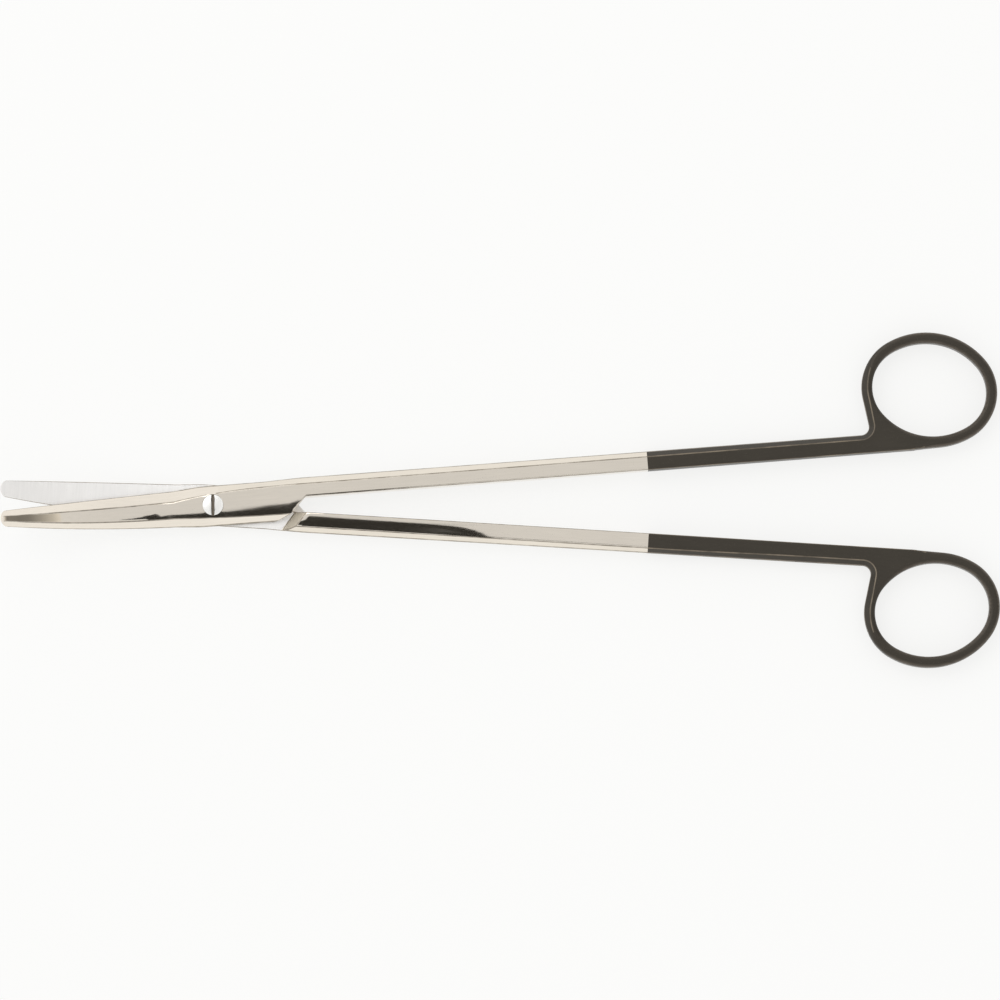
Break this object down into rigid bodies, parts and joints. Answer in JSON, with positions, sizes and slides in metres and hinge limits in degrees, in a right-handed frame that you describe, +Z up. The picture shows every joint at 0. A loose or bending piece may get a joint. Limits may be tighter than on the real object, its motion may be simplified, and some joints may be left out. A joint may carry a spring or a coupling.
{
  "type": "dissecting scissors",
  "caption": "Long slender dissecting scissors with curved blunt blades, a slotted pivot screw, bevelled shanks and coated finger rings.",
  "frame": {"origin": "on the pivot axis, in the plane that the underside of the joint rests on", "axes": "+X from the pivot toward the finger rings, the tips at -X; +Z up, along the pivot screw to its slotted head; the blades curve toward +Z"},
  "size_m": [0.2278, 0.077, 0.0141],
  "materials": {
    "instrument_steel": "polished outside, satin ground inner faces, black coating on the handle end",
    "screw_steel": "polished"
  },
  "bodies": {
    "back": {"back_half": "instrument_steel", "pivot_screw": "screw_steel"},
    "front": {"front_half": "instrument_steel"}
  },
  "joints": [
    {"name": "blade_pivot", "type": "hinge", "parent": "back", "child": "front", "pos_m": [0, 0, 0], "axis": [0, 0, 1], "range_deg": [-8, 52]}
  ]
}
